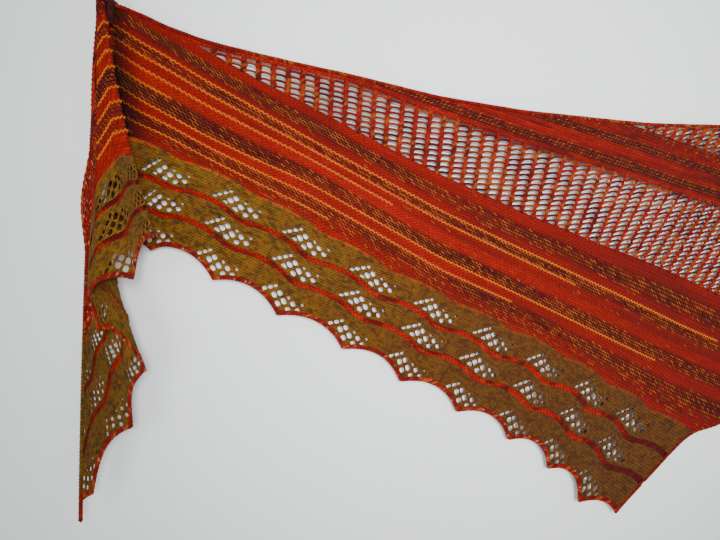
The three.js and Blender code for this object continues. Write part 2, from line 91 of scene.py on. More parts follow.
# The flat panel's bound-off edge, a row for each point, and the top of the lace above it.
flatEdge = columns("repeat x z hemX hemZ", [
    (6.06, -7, -270, 6, -138),
    (7, 41, -248, 71, -160),
    (8, 102, -281, 144, -193),
    (9, 167, -318, 217, -233),
    (10, 237, -355, 291, -273),
    (11, 300, -392, 362, -307),
    (12, 365, -428, 429, -339),
    (13, 426, -462, 491, -369),
    (14, 474, -497, 550, -404),
    (15, 511, -539, 602, -434),
    (15.75, 548, -565, 658, -467),
    (16, 560, -574, 677, -478),
])

# Lines across the flat panel: the sagging top, the two net bands, the first and fifth yellow rows, the top
# of the lace as the rows of stitches see it, and the far side.
panelLines = columns("x top netOneTop netOne rowTwelve rowTwentyNine rowLast netTwoTop netTwo side", [
    (-40, 0, 0, 10, -12, -70, -118, 0, 0, -800),
    (6, -6, 0, 0, -27, -84, -138, 0, 0, -800),
    (26, -12, 0, -10, -41, -99, -146, 0, 0, -800),
    (56, -25, 0, -26, -56, -114, -155, 0, 0, -800),
    (96, -37, -30, -48, -79, -135, -176, 0, 0, -800),
    (146, -46, -52, -73, -104, -157, -201, 0, 0, -800),
    (196, -54, -61, -95, -130, -177, -227, 0, 0, -800),
    (246, -61, -71, -119, -155, -203, -254, 0, 0, -800),
    (346, -79, -101, -165, -205, -257, -310, 0, 0, -800),
    (446, -90, -129, -206, -249, -302, -348, 0, -60, -680),
    (548, -95, -155, -243, -293, -349, -406, -40, -92, -565),
    (603, -97, -168, -261, -317, -374, -437, -60, -107, -512),
    (646, -96, -180, -277, -336, -392, -462, -70, -117, -477),
    (660, -95.5, -183, -283, -342, -398, -468, -73, -121, -466),
    (706, -94, -194, -301, -360, -416, -486, -82, -133, -457),
    (796, -92, -226, -338, -397, -453, -523, -100, -160, -398),
    (896, -84, -262, -376, -435, -491, -561, -124, -190, -325),
    (996, -68, -298, -412, -471, -527, -597, -150, -222, -242),
    (1096, -46, -334, -448, -507, -563, -633, -178, -252, -152),
    (1196, -18, -370, -484, -543, -599, -669, -206, -282, -62),
    (1250, 0, -390, -504, -563, -619, -689, -220, -300, -16),
])


def softRead(table, key, at, column, reach):
    shifts = np.linspace(-reach, reach, 5)
    return sum(np.interp(at + shift, table[key], table[column]) for shift in shifts) / len(shifts)


def wave(repeat):
    part = repeat - np.floor(repeat)
    return 4 * part * (1 - part)


# The same wave with its points worn round, for the lines further up the cloth.
def softWave(repeat):
    return sum(wave(repeat + shift) for shift in (-0.12, -0.06, 0, 0.06, 0.12)) / 5


# The line between the main cloth and the lace.
def hemPlace(repeat):
    return 1 + hemWave * softWave(repeat) / laceHeight


# How far the cloth hangs in front of the wall, with a gentle swell.
def swell(x, z):
    return 9 + 1.6 * np.sin(x / 75 + 0.6) + 1.2 * np.sin(z / 60 + x / 180)


# A place on the folded fan or the flat panel: repeat counts lace repeats along the bound-off edge, and place
# runs from 0 at that edge to 1 at the top of the lace.
def foldedPoint(repeat, place):
    def row(name):
        return softRead(foldedEdge, "repeat", repeat, name, 0.045)

    reach = 1 - place * row("lace")
    x = row("apexX") + (row("x") - row("apexX")) * reach + 4 * row("bow") * reach * (1 - reach)
    depth = row("apexDepth") + (row("depth") - row("apexDepth")) * reach
    return np.stack([x, -depth, row("z") * reach], -1)


# The edge of the tail stands out beside the flap half-way down.
def tailBulge(repeat, z):
    return 7.5 * np.exp(-(((z + 205) / 42) ** 2)) * smooth(1.4, 0, repeat)


def flatPoint(repeat, place):
    def row(name):
        return softRead(flatEdge, "repeat", repeat, name, 0.2)

    x = row("x") + (row("hemX") - row("x")) * place
    z = row("z") + (row("hemZ") - row("z")) * place
    return np.stack([x, -swell(x, z), z], -1)


# On the hanging tail the lines of stitches lean to the outer edge as they rise, and end there.
def leaningPoint(repeat, place):
    lean = (0.8 + 0.6 * np.clip(repeat, -0.41, 2)) * smooth(2.7, 2, repeat)
    over = np.maximum(repeat - lean * place, np.minimum(repeat, -0.41))
    return foldedPoint(over, place * np.where(repeat < 2.7, 0.92 + 0.08 * place / 1.05, 1))


sheets = {"folded": (leaningPoint, -0.41, 6.1), "flat": (flatPoint, 6.06, 15.75)}


# A narrow knitted band lies between the top edge and the first net.
topBandWidth = 9


def panelLine(name, x):
    line = softRead(panelLines, "x", x, name, 12)
    if name == "netOneTop":
        return np.minimum(line, softRead(panelLines, "x", x, "top", 12) - topBandWidth)
    return line


# Chance values on a square lattice, read smoothly in between, so that each run gives the same cloth.
lattice = np.random.default_rng(11).random((256, 256))


def drift(a, b, layer=0):
    a, b = np.broadcast_arrays(a, b)
    low, left = np.floor(a).astype(int), np.floor(b).astype(int)
    up, along = a - low, b - left
    up, along = up * up * (3 - 2 * up), along * along * (3 - 2 * along)

    def at(i, j):
        return lattice[(low + i + 53 * layer) % 256, (left + j + 101 * layer) % 256]

    near = at(0, 0) * (1 - up) + at(1, 0) * up
    far = at(0, 1) * (1 - up) + at(1, 1) * up
    return near * (1 - along) + far * along


def smooth(low, high, value):
    t = np.clip((value - low) / (high - low), 0, 1)
    return t * t * (3 - 2 * t)


def tint(red, green, blue):
    share = np.array([red, green, blue]) / 255
    return np.where(share <= 0.04045, share / 12.92, ((share + 0.055) / 1.055) ** 2.4)


def blend(first, second, share):
    return first + (second - first) * np.asarray(share)[..., None]


yarn = {
    "red": tint(146, 14, 3),
    "darkRed": tint(70, 3, 2),
    "wine": tint(66, 7, 5),
    "orange": tint(186, 58, 5),
    "yellow": tint(196, 96, 0),
    "mustard": tint(140, 70, 8),
    "tan": tint(166, 84, 26),
    "brown": tint(94, 38, 10),
    "olive": tint(110, 76, 11),
    "darkOlive": tint(56, 36, 5),
    # A pale colour used for painted highlights on the yarn.
    "paintedGlint": tint(222, 160, 105),
}


def normalsOf(points):
    along = np.gradient(points, axis=0)
    across = np.gradient(points, axis=1)
    normal = np.cross(along, across)
    return normal / np.maximum(np.linalg.norm(normal, axis=-1, keepdims=True), 1e-9)


# The length of a path up to each of its points.
def lengthsOf(path):
    return np.concatenate([[0], np.cumsum(np.linalg.norm(np.diff(path, axis=0), axis=1))])


def makeMesh(name, points, faces, colours, material, stitches=None):
    corners = faces.shape[1]
    mesh = bpy.data.meshes.new(name)
    mesh.vertices.add(len(points))
    mesh.vertices.foreach_set("co", (points * metresPerMillimetre).astype(np.float32).ravel())
    mesh.loops.add(faces.size)
    mesh.loops.foreach_set("vertex_index", faces.astype(np.int32).ravel())
    mesh.polygons.add(len(faces))
    mesh.polygons.foreach_set("loop_start", np.arange(0, faces.size, corners, dtype=np.int32))
    mesh.polygons.foreach_set("loop_total", np.full(len(faces), corners, np.int32))
    mesh.update(calc_edges=True)
    mesh.validate()
    shade = mesh.color_attributes.new("yarn", "FLOAT_COLOR", "POINT")
    shade.data.foreach_set("color", np.c_[colours, np.ones(len(colours))].astype(np.float32).ravel())
    if stitches is not None:
        layer = mesh.uv_layers.new(name="stitches")
        which = np.zeros(len(mesh.loops), np.int32)
        mesh.loops.foreach_get("vertex_index", which)
        layer.data.foreach_set("uv", stitches[which].astype(np.float32).ravel())
    mesh.polygons.foreach_set("use_smooth", np.ones(len(mesh.polygons), bool))
    piece = bpy.data.objects.new(name, mesh)
    bpy.context.scene.collection.objects.link(piece)
    mesh.materials.append(material)
    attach(piece, "root")
    return piece


# A mesh from a grid of points. Cells that have closed to nothing are left out.
def gridMesh(name, points, colours, material, stitches=None, closed=False):
    rows, across = points.shape[:2]
    index = np.arange(rows * across).reshape(rows, across)
    if closed:
        index = np.c_[index, index[:, :1]]
    quads = np.stack([index[:-1, :-1], index[1:, :-1], index[1:, 1:], index[:-1, 1:]], -1).reshape(-1, 4)
    flat = points.reshape(-1, 3)
    a, b, c, d = (flat[quads[:, k]] for k in range(4))
    smallestCell = 0.02
    quads = quads[np.linalg.norm(np.cross(c - a, d - b), axis=1) > smallestCell]
    used = np.unique(quads)
    renumber = np.zeros(len(flat), int)
    renumber[used] = np.arange(len(used))
    uv = None if stitches is None else stitches.reshape(-1, 2)[used]
    return makeMesh(name, flat[used], renumber[quads], colours.reshape(-1, 3)[used], material, uv)


# Round yarns along many paths at once: paths is (yarns, steps, 3) and radius fits it.
def yarnMesh(name, paths, radius, colours, material, sides=6):
    along = np.gradient(paths, axis=1)
    along /= np.maximum(np.linalg.norm(along, axis=-1, keepdims=True), 1e-9)
    out = np.broadcast_to(np.array([0.0, -1.0, 0.0]), along.shape)
    sideways = np.cross(along, out)
    length = np.linalg.norm(sideways, axis=-1, keepdims=True)
    sideways = np.where(length > 0.05, sideways / np.maximum(length, 1e-9), np.array([1.0, 0.0, 0.0]))
    out = np.cross(sideways, along)
    angles = np.arange(sides) * fullTurn / sides
    ring = np.cos(angles)[:, None] * sideways[:, :, None, :] + np.sin(angles)[:, None] * out[:, :, None, :]
    radius = np.broadcast_to(radius, paths.shape[:2])
    points = paths[:, :, None, :] + ring * radius[:, :, None, None]
    yarns, steps = paths.shape[:2]
    index = np.arange(yarns * steps * sides).reshape(yarns, steps, sides)
    turned = np.roll(index, -1, axis=2)
    quads = np.stack([index[:, :-1], index[:, 1:], turned[:, 1:], turned[:, :-1]], -1).reshape(-1, 4)
    shade = np.repeat(colours[:, :, None, :], sides, axis=2).reshape(-1, 3)
    return makeMesh(name, points.reshape(-1, 3), quads, shade, material)


# A wool: the dye comes from the mesh, a noise makes it heathered, and the stitches raise it; the dye is also
# painted darker between the stitches and lighter on their tops, as painted shade and highlight.
def yarnMaterial(name, look):
    material = bpy.data.materials.new(name)
    material.use_nodes = True
    nodes, links = material.node_tree.nodes, material.node_tree.links
    shader = nodes["Principled BSDF"]
    shader.inputs["Roughness"].default_value = look["roughness"]
    shader.inputs["Sheen Weight"].default_value = look["sheen"]
    shader.inputs["Sheen Roughness"].default_value = 0.5
    shader.inputs["Specular IOR Level"].default_value = look["gloss"]
    place = nodes.new("ShaderNodeTexCoord")
    dye = nodes.new("ShaderNodeAttribute")
    dye.attribute_name = "yarn"
    heather = nodes.new("ShaderNodeTexNoise")
    heather.inputs["Scale"].default_value = look["heatherScale"]
    heather.inputs["Detail"].default_value = 3
    links.new(place.outputs["Object"], heather.inputs["Vector"])
    spread = nodes.new("ShaderNodeMapRange")
    spread.inputs["From Min"].default_value = 0.3
    spread.inputs["From Max"].default_value = 0.7
    spread.inputs["To Min"].default_value = 1 - look["heather"]
    spread.inputs["To Max"].default_value = 1 + look["heather"]
    links.new(heather.outputs["Fac"], spread.inputs["Value"])
    scaled = nodes.new("ShaderNodeVectorMath")
    scaled.operation = "SCALE"
    links.new(dye.outputs["Color"], scaled.inputs["Vector"])
    links.new(spread.outputs["Result"], scaled.inputs["Scale"])
    colour = scaled.outputs["Vector"]

    def reckon(operation, first, second=None, third=None):
        step = nodes.new("ShaderNodeMath")
        step.operation = operation
        for socket, value in zip(step.inputs, (first, second, third)):
            if isinstance(value, (int, float)):
                socket.default_value = value
            elif value is not None:
                links.new(value, socket)
        return step.outputs["Value"]

    height = None
    if look["stitch"] != "none":
        split = nodes.new("ShaderNodeSeparateXYZ")
        links.new(place.outputs["UV"], split.inputs["Vector"])
        column, row = split.outputs["X"], split.outputs["Y"]
        columnWave = reckon("SINE", reckon("MULTIPLY", column, fullTurn))
        if look["stitch"] == "vee":
            fromMiddle = reckon("ABSOLUTE", reckon("SUBTRACT", reckon("FRACT", column), 0.5))
            line = reckon("MULTIPLY_ADD", fromMiddle, 1.3, row)
            leg = reckon("ABSOLUTE", columnWave)
        else:
            line = reckon("MULTIPLY_ADD", columnWave, -0.3, row)
            slant = reckon("MULTIPLY_ADD", row, 0.4, reckon("MULTIPLY", column, 2))
            leg = reckon("COSINE", reckon("MULTIPLY", slant, fullTurn))
            leg = reckon("MULTIPLY_ADD", leg, 0.5, 0.5)
        arms = reckon("MULTIPLY_ADD", reckon("COSINE", reckon("MULTIPLY", line, fullTurn)), 0.5, 0.5)
        height = reckon("MULTIPLY", arms, reckon("MULTIPLY_ADD", leg, look["leg"], 1 - look["leg"]))
        # Painted shade and highlight: the colour is darkened where the stitch pattern is low and lightened
        # where it is high.
        deep = nodes.new("ShaderNodeVectorMath")
        deep.operation = "SCALE"
        links.new(colour, deep.inputs["Vector"])
        depth = look["paintedStitchShade"]
        links.new(reckon("MULTIPLY_ADD", height, 1.3 * depth, 1 - 0.7 * depth), deep.inputs["Scale"])
        colour = deep.outputs["Vector"]
    links.new(colour, shader.inputs["Base Color"])
    fuzz = nodes.new("ShaderNodeTexNoise")
    fuzz.inputs["Scale"].default_value = look["fuzzScale"]
    fuzz.inputs["Detail"].default_value = 2
    links.new(place.outputs["Object"], fuzz.inputs["Vector"])
    bump = nodes.new("ShaderNodeBump")
    bump.inputs["Strength"].default_value = look["fuzz"]
    bump.inputs["Distance"].default_value = 0.0006
    if height is None:
        links.new(fuzz.outputs["Fac"], bump.inputs["Height"])
    else:
        raised = reckon("MULTIPLY_ADD", height, look["stitchRise"], fuzz.outputs["Fac"])
        links.new(raised, bump.inputs["Height"])
    links.new(bump.outputs["Normal"], shader.inputs["Normal"])
    return material


woolLook = {
    "roughness": 0.88, "sheen": 0.03, "gloss": 0.18, "heatherScale": 320, "heather": 0.2,
    "fuzzScale": 1500, "fuzz": 0.5, "stitch": "none",
}
garterLook = {
    **woolLook, "fuzz": 0.8, "stitch": "garter", "leg": 0.55, "paintedStitchShade": 0.72, "stitchRise": 1.2,
}
laceLook = {**woolLook, "fuzz": 0.8, "stitch": "vee", "leg": 0.6, "paintedStitchShade": 0.7, "stitchRise": 1.6}
wool = yarnMaterial("sock_wool", woolLook)
garterWool = yarnMaterial("garter_wool", garterLook)
laceWool = yarnMaterial("lace_wool", laceLook)
print("materials made")

# How many stitches lie between the hook and a place along the panel: they are wider near the hook.
stitchTable = columns("x width", [(-60, 5.2), (0, 5.0), (300, 4.6), (650, 3.7), (1260, 3.7)])
stitchPlaces = np.linspace(-60, 1260, 661)
stitchWidths = np.interp(stitchPlaces[1:], stitchTable["x"], stitchTable["width"])
stitchCounts = np.concatenate([[0], np.cumsum(np.diff(stitchPlaces) / stitchWidths)])


def stitchesAt(x):
    return np.interp(x, stitchPlaces, stitchCounts)


def placeOfStitch(count):
    return np.interp(count, stitchCounts, stitchPlaces)


# The stripes of the main cloth, counted in garter rows down from the first net band. Each yellow row ends at
# a place along the panel, and past it the same row is brown and broken.
yellowRows = columns("row end", [
    (12, 700), (15.7, 510), (19.5, 293), (23.7, 62), (29, 613), (32.8, 431), (37, 221), (40.5, 24),
])
# Between them the yarn changes slowly: how dark and how bright each band of rows is.
rowZones = columns("row dark bright", [
    (0, 0.3, 0.1), (3.8, 0.4, 0), (4.6, 1, 0), (7.8, 1, 0), (8.8, 0.6, 0), (11, 0.35, 0.1),
    (12.6, 0.9, 0), (15, 0.9, 0), (16.4, 0.3, 0.2), (18.8, 0.4, 0.1), (20.2, 0.15, 0.5),
    (23, 0.2, 0.5), (24.4, 1, 0), (28.2, 1, 0), (29.6, 0.25, 0.3), (32.2, 0.25, 0.3),
    (33.5, 0.9, 0), (36.2, 0.9, 0), (37.6, 0.5, 0.1), (40, 0.4, 0.1), (41.4, 0.25, 0.4), (48, 0.25, 0.5),
])


def clothColours(row, stitch, x):
    number = np.floor(row + 0.5)
    dark, bright = (np.interp(row, rowZones["row"], rowZones[k]) for k in ("dark", "bright"))
    tone = drift(stitch / 7 + 31 * number, number * 0.77, 1)
    speck = drift(stitch * 0.8 + 11 * number, row * 1.1, 2)
    shade = blend(yarn["red"], yarn["darkRed"], np.clip(dark * (0.45 + 0.75 * tone) - 0.2 * bright, 0, 1))
    shade = blend(shade, yarn["orange"], 0.3 * bright * smooth(0.5, 0.8, speck))
    shade = blend(shade, yarn["wine"], 0.7 * smooth(0.5, 0.8, drift(stitch / 14, row / 3, 3)) * dark)
    for at, end in zip(yellowRows["row"], yellowRows["end"]):
        beside = smooth(0.9, 0.3, np.abs(row - at))
        shade = blend(shade, yarn["orange"], 0.35 * beside * (1 - smooth(end - 3, end + 3, x)))
    return shade * (1 - 0.2 * smooth(250, 560, x))[..., None]


rowsInBody = 44
rowMarks = [0, 12, 29, rowsInBody]
rowLines = ["netOne", "rowTwelve", "rowTwentyNine", "rowLast"]


# The height of a garter row at a place along the panel.
def rowHeight(row, x):
    lines = np.stack([panelLine(name, x) for name in rowLines], -1)
    height = np.zeros(np.broadcast(row, x).shape)
    for k in range(3):
        share = np.clip((row - rowMarks[k]) / (rowMarks[k + 1] - rowMarks[k]), 0, 1)
        height = height + share * (lines[..., k + 1] - lines[..., k])
    return lines[..., 0] + height


hemRepeats = np.linspace(6.06, 15.75, 400)
hemPoints = flatPoint(hemRepeats, hemPlace(hemRepeats))


# The top of the lace below a place along the panel, and far below everything where the lace has ended.
def hemAt(x):
    return np.where(x > hemPoints[-1, 0], -900, np.interp(x, hemPoints[:, 0], hemPoints[:, 2]))


selvedgeWidth = 4


def underSelvedge(x):
    return panelLine("top", x) - selvedgeWidth


# Painted shadow: cloth close to the hook and the fan is painted darker, down to least, where the folds shade
# it.
def paintedFoldShadow(x, z, least):
    return least + (1 - least) * smooth(-6, 26, x + z * 0.16)


ridgeRise = 0.75


# A part of the flat panel as a grid of stitches and rows, raised in garter ridges.
def panelCloth(name, fromX, toX, samples, rows, heightOf, low, high, colourOf):
    first, last = stitchesAt(fromX), stitchesAt(toX)
    stitch = np.linspace(first, last, int((last - first) * samples))
    stitch = stitch[low(placeOfStitch(stitch)) < high(placeOfStitch(stitch))][:, None]
    x = np.broadcast_to(placeOfStitch(stitch), (len(stitch), len(rows)))
    row = np.broadcast_to(rows[None, :], x.shape)
    z = np.minimum(np.maximum(heightOf(row, x), low(x)), high(x))
    points = np.stack([x, -swell(x, z) - ridgeRise * np.cos(fullTurn * row), z], -1)
    # The cloth's colour is darkened near the folds as painted shadow.
    shade = colourOf(row, stitch, x) * paintedFoldShadow(x, z, 0.1)[..., None]
    stitches = np.stack([np.broadcast_to(stitch, x.shape), row], -1)
    return gridMesh(name, points, shade, garterWool, stitches)


lowerBody = {
    "rows": rowsInBody + 3, "perRow": 4, "perStitch": 2, "left": 0, "split": 330, "edge": 636, "end": 900,
}
lowerRows = np.linspace(0, lowerBody["rows"], lowerBody["rows"] * lowerBody["perRow"] + 1)


def lowerLow(x):
    return np.maximum(hemAt(x), panelLine("side", x))


def lowerHigh(x):
    return np.minimum(panelLine("netOne", x), underSelvedge(x))


def lowerCloth(name, fromX, toX):
    return panelCloth(name, lowerBody[fromX], lowerBody[toX], lowerBody["perStitch"], lowerRows, rowHeight,
                      lowerLow, lowerHigh, clothColours)


lowerLeft = lowerCloth("lower_body_left", "left", "split")
lowerMiddle = lowerCloth("lower_body_middle", "split", "edge")
lowerRight = lowerCloth("lower_body_right", "edge", "end")
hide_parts("lower_body")


yellowRow = {"from": 2, "stepsPerStitch": 6, "zigzag": 0.31, "sway": 0.25, "radius": 0.78}


def yellowColours(count, at):
    return blend(yarn["yellow"], yarn["orange"], 0.25 * drift(count * 0.7, at + 0 * count, 27))


# Single rows of another colour lie on the cloth as yarns that zigzag from stitch to stitch.
def rowYarn(at, toX):
    count = np.arange(stitchesAt(yellowRow["from"]), stitchesAt(toX), 1 / yellowRow["stepsPerStitch"])
    x = placeOfStitch(count)
    z = rowHeight(at + yellowRow["zigzag"] * np.sin(fullTurn * count), x)
    inside = (z > lowerLow(x) + 1) & (z < lowerHigh(x) - 1)
    last = len(x) if inside[2:].all() else 2 + int(np.argmin(inside[2:]))
    depth = swell(x, z) + ridgeRise + yellowRow["sway"] * np.cos(fullTurn * count)
    # Painted shadow near the folds darkens the yellow rows too.
    shade = yellowColours(count, at) * paintedFoldShadow(x, z, 0.2)[:, None]
    return np.stack([x, -depth, z], -1)[:last], shade[:last]


# Yarns of different lengths in one mesh: the shorter ones repeat their last point.
def yarnRows(name, made, radius):
    longest = max(len(path) for path, shade in made)

    def padded(values):
        return np.pad(values, ((0, longest - len(values)), (0, 0)), mode="edge")

    paths = np.array([padded(path) for path, shade in made])
    shades = np.array([padded(shade) for path, shade in made])
    return yarnMesh(name, paths, radius, shades, wool, 4)


bumpRadius = 0.6


def brownColours(count, row):
    return blend(yarn["brown"], yarn["tan"], smooth(0.25, 1.0, drift(count * 2.3, row * 3.1, 30)))


# Short slanting bumps of brown and tan yarn, one to a stitch, where the dye turns brown.
def bumpYarns(name, fromX, toX, rows, marks, height, low, high):
    count = np.arange(math.ceil(stitchesAt(fromX)), stitchesAt(toX))[:, None] + 0.5 * (rows[None, :] % 2)
    row = np.broadcast_to(rows[None, :], count.shape)
    x = placeOfStitch(count)
    lot = drift(count * 3.7, row * 5.3, 28)
    patch = drift(count / 9, row / 2.3, 29)
    chance = np.interp(row, marks["row"], marks["share"])
    wanted = lot < chance * (0.7 + 0.6 * smooth(0.25, 0.75, patch))
    z = height(row, x)
    wanted &= (z > low(x) + 1.5) & (z < high(x) - 1.5)
    count, row, x = count[wanted], row[wanted], x[wanted]
    t = np.linspace(-1, 1, 4)
    along = placeOfStitch(count[:, None] + 0.4 * t)
    down = height(row[:, None] + 0.3 + 0.26 * t, along)
    out = 0.55 + 0.3 * (1 - t * t)
    paths = np.stack([along, -swell(along, down) - out, down], -1)
    # Painted shadow near the folds darkens the brown bumps too.
    shade = brownColours(count, row) * paintedFoldShadow(x, z[wanted], 0.2)[:, None]
    return yarnMesh(name, paths, bumpRadius, np.repeat(shade[:, None, :], 4, axis=1), wool, 3)


yellowMade = [rowYarn(at, end) for at, end in zip(yellowRows["row"], yellowRows["end"])]
yellowYarns = yarnRows("yellow_rows", yellowMade, yellowRow["radius"])
bumpRows = np.arange(0.5, 46)
brownMarks = columns("row share", [
    (0, 0.03), (4, 0.1), (4.6, 0.95), (7.8, 0.95), (8.8, 0.3), (11, 0.1), (12.6, 0.9), (15, 0.9),
    (16.4, 0.1), (18.8, 0.2), (20.2, 0.02), (23, 0.1), (24.4, 0.95), (28.2, 0.9), (29.6, 0.05),
    (32.2, 0.1), (33.5, 0.85), (36.2, 0.8), (37.6, 0.5), (40, 0.4), (41.4, 0.05), (48, 0.02),
])
brownBumps = bumpYarns("brown_bumps", 2, 760, bumpRows, brownMarks, rowHeight, lowerLow, lowerHigh)
print("lower body made")

# The cloth above the first net band, with two broken brown rows, and the corner beyond the second net.
middleMarks = columns("row share", [
    (0, 0.03), (1.6, 0.05), (2.2, 0.95), (4.6, 0.95), (5.4, 0.05), (9, 0.05), (9.6, 0.9),
    (11.6, 0.9), (12.6, 0.1), (15, 0.5), (17, 0.5), (18, 0.05), (40, 0.08),
])


def middleColours(row, stitch, x):
    number = np.floor(row + 0.5)
    tone = drift(stitch / 7 + 31 * number, number * 0.77, 5)
    speck = drift(stitch * 0.8 + 11 * number, row * 1.1, 2)
    share = np.interp(row, middleMarks["row"], middleMarks["share"])
    shade = blend(yarn["red"], yarn["darkRed"], np.maximum(0.75 * smooth(0.15, 0.9, tone), share))
    shade = blend(shade, yarn["orange"], 0.2 * smooth(0.6, 0.85, speck))
    return shade * (1 - 0.25 * smooth(250, 560, x))[..., None]


upperRowPitch = 3.7


def rowsAbove(line):
    return lambda row, x: panelLine(line, x) + row * upperRowPitch


def middleHigh(x):
    return np.minimum(panelLine("netTwo", x), underSelvedge(x))


def middleLow(x):
    return np.maximum(np.maximum(panelLine("netOneTop", x), panelLine("netOne", x)), panelLine("side", x))


def cornerLow(x):
    return np.maximum(panelLine("netTwoTop", x), panelLine("side", x))


upperEdge = 640
aboveNetOne = rowsAbove("netOneTop")
middleLeft = panelCloth("middle_body_left", 40, upperEdge, 2, np.arange(0, 24, 0.25), aboveNetOne,
                        middleLow, middleHigh, middleColours)
middleRight = panelCloth("middle_body_right", upperEdge, 1100, 2, np.arange(0, 34, 0.5), aboveNetOne,
                         middleLow, middleHigh, middleColours)
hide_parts("middle_body")
middleBumps = bumpYarns("middle_bumps", 90, 760, np.arange(0.5, 30), middleMarks, aboveNetOne,
                        middleLow, middleHigh)
cornerCloth = panelCloth("start_corner_cloth", upperEdge, 1240, 1.5, np.arange(0, 62, 0.5),
                         rowsAbove("netTwoTop"), cornerLow, underSelvedge, middleColours)
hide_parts("start_corner")
print("upper cloth made")

# The striped cloth of the fan. On the front flap its rows slant down to the outer fold and then run along it.
# Each row of the table gives the heights of the first and the last row of stitches on one line of the fan.
fan = {
    "rows": 48, "perRow": 3, "lines": 280, "stitch": 4.8, "yarnStitch": 4.2, "paintedLightGain": 1.2, "yarnRadius": 0.72,
}
fanRepeats = np.linspace(*sheets["folded"][1:], fan["lines"])[:, None]
fanHeights = columns("repeat first last", [
    (-0.41, -4, -343), (1, -4, -256), (2, -4, -247), (3, 5, -215), (3.28, 4, -262), (3.33, 3, -300),
    (3.38, 5, -262), (3.44, 6, -228), (3.5, 7.4, -205), (4, 9, -172), (5, 9, -166), (5.8, 9, -160),
])


def fanRange(repeat):
    return (softRead(fanHeights, "repeat", repeat, k, 0.02) for k in ("first", "last"))


def fanHeight(row, repeat):
    first, last = fanRange(repeat)
    return first + (last - first) * row / fan["rows"]


# The place on the fan at a height, on the line that rises from the bound-off edge at a lace repeat.
def fanSpot(repeat, z):
    drop = softRead(foldedEdge, "repeat", repeat, "z", 0.045)
    lace = softRead(foldedEdge, "repeat", repeat, "lace", 0.045)
    spot = foldedPoint(repeat, (1 - z / drop) / lace)
    spot[..., 0] -= tailBulge(repeat, z)
    return spot


def fanHem(repeat):
    return foldedPoint(repeat, hemPlace(repeat))[..., 2]


# The outer fold of the flap and the strip along the tail have broken colours of their own, and the strip has
# painted highlights.
def fanColours(row, stitch, along, repeat, z):
    colours = clothColours(row, stitch, 5 + 0 * z)
    fold = smooth(3.22, 3.32, repeat) * smooth(3.45, 3.36, repeat) * smooth(-30, -60, z)
    colours = blend(colours, blend(yarn["orange"], yarn["mustard"], drift(z / 3, along / 2, 24)), fold * 0.55)
    strip = blend(yarn["darkRed"], yarn["red"], drift(z / 4, along / 3, 22))
    zigzag = np.abs(along - 5 - 0.9 * np.sin(fullTurn * z / 4.4))
    strip = blend(strip, yarn["orange"], smooth(1.7, 0.8, zigzag))
    strip = blend(strip, yarn["paintedGlint"], smooth(0.8, 0.9, drift(z / 1.6, along / 1.6, 23)))
    # Painted light: all the fan's colours are brightened by one factor.
    return blend(colours, strip, smooth(1.2, 0.5, repeat)) * fan["paintedLightGain"]


def fanCloth():
    topZ = -5 - 3 * wave(fanRepeats)
    z = topZ + (fanHem(fanRepeats) - topZ) * np.linspace(0, 1, fan["rows"] * fan["perRow"] + 1)[None, :]
    first, last = fanRange(fanRepeats)
    row = (z - first) / (last - first) * fan["rows"]
    repeat = np.broadcast_to(fanRepeats, z.shape)
    base = fanSpot(repeat, z)
    steps = np.linalg.norm(np.diff(base, axis=0), axis=-1)
    along = np.concatenate([np.zeros((1, z.shape[1])), np.cumsum(steps, axis=0)])
    stitch = along / fan["stitch"]
    points = base - normalsOf(base) * (ridgeRise * np.cos(fullTurn * row))[..., None]
    colours = fanColours(row, stitch, along, repeat, z)
    return gridMesh("folded_cloth", points, colours, garterWool, np.stack([stitch, row], -1))


# The same yellow rows and brown bumps run over the flap, from its free side round the outer fold.
def fanLine(at, start, end, samples):
    repeat = np.linspace(start, end, samples)
    return repeat, lengthsOf(fanSpot(repeat, fanHeight(at, repeat)))


def fanYarn(at):
    repeat, length = fanLine(at, 5.04, 3.52, 500)
    count = np.arange(0, length[-1] / fan["yarnStitch"], 1 / 8)
    repeat = np.interp(count * fan["yarnStitch"], length, repeat)
    z = fanHeight(at + yellowRow["zigzag"] * np.sin(fullTurn * count), repeat)
    inside = z > fanHem(repeat) + 2
    spot = fanSpot(repeat, z)
    out = np.cross(fanSpot(repeat + 0.01, z) - spot, fanSpot(repeat, z - 1) - spot)
    out /= np.linalg.norm(out, axis=1, keepdims=True)
    path = spot + np.where(out[:, 1:2] > 0, -out, out)
    end = len(path) if inside.all() else max(8, int(np.argmin(inside)))
    return path[:end], yellowColours(count, at)[:end]


def fanBumps():
    paths, shades = [], []
    reach = np.linspace(-1, 1, 4)
    for at in bumpRows:
        repeat, length = fanLine(at, 5.0, 3.44, 400)
        chance = 1.2 * np.interp(at, brownMarks["row"], brownMarks["share"])
        for count in np.arange(0.5 + at % 2 / 2, length[-1] / fan["yarnStitch"] - 0.5):
            if drift(count * 3.7, at * 5.3, 32) > chance:
                continue
            spot = np.interp((count + 0.36 * reach) * fan["yarnStitch"], length, repeat)
            z = fanHeight(at + 0.3 - 0.2 * reach, spot)
            if z.min() < fanHem(spot).max() + 2:
                continue
            paths.append(fanSpot(spot, z) + np.array([0, -0.95, 0]))
            shades.append(brownColours(np.full(len(reach), count), at))
    return yarnMesh("fan_brown_bumps", np.array(paths), 0.5, np.array(shades), wool, 4)


fanBrownBumps = fanBumps()
fanYarns = yarnRows("fan_yellow_rows", [fanYarn(at) for at in yellowRows["row"]], fan["yarnRadius"])
foldedCloth = fanCloth()
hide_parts("folded_body")
print("fan made")

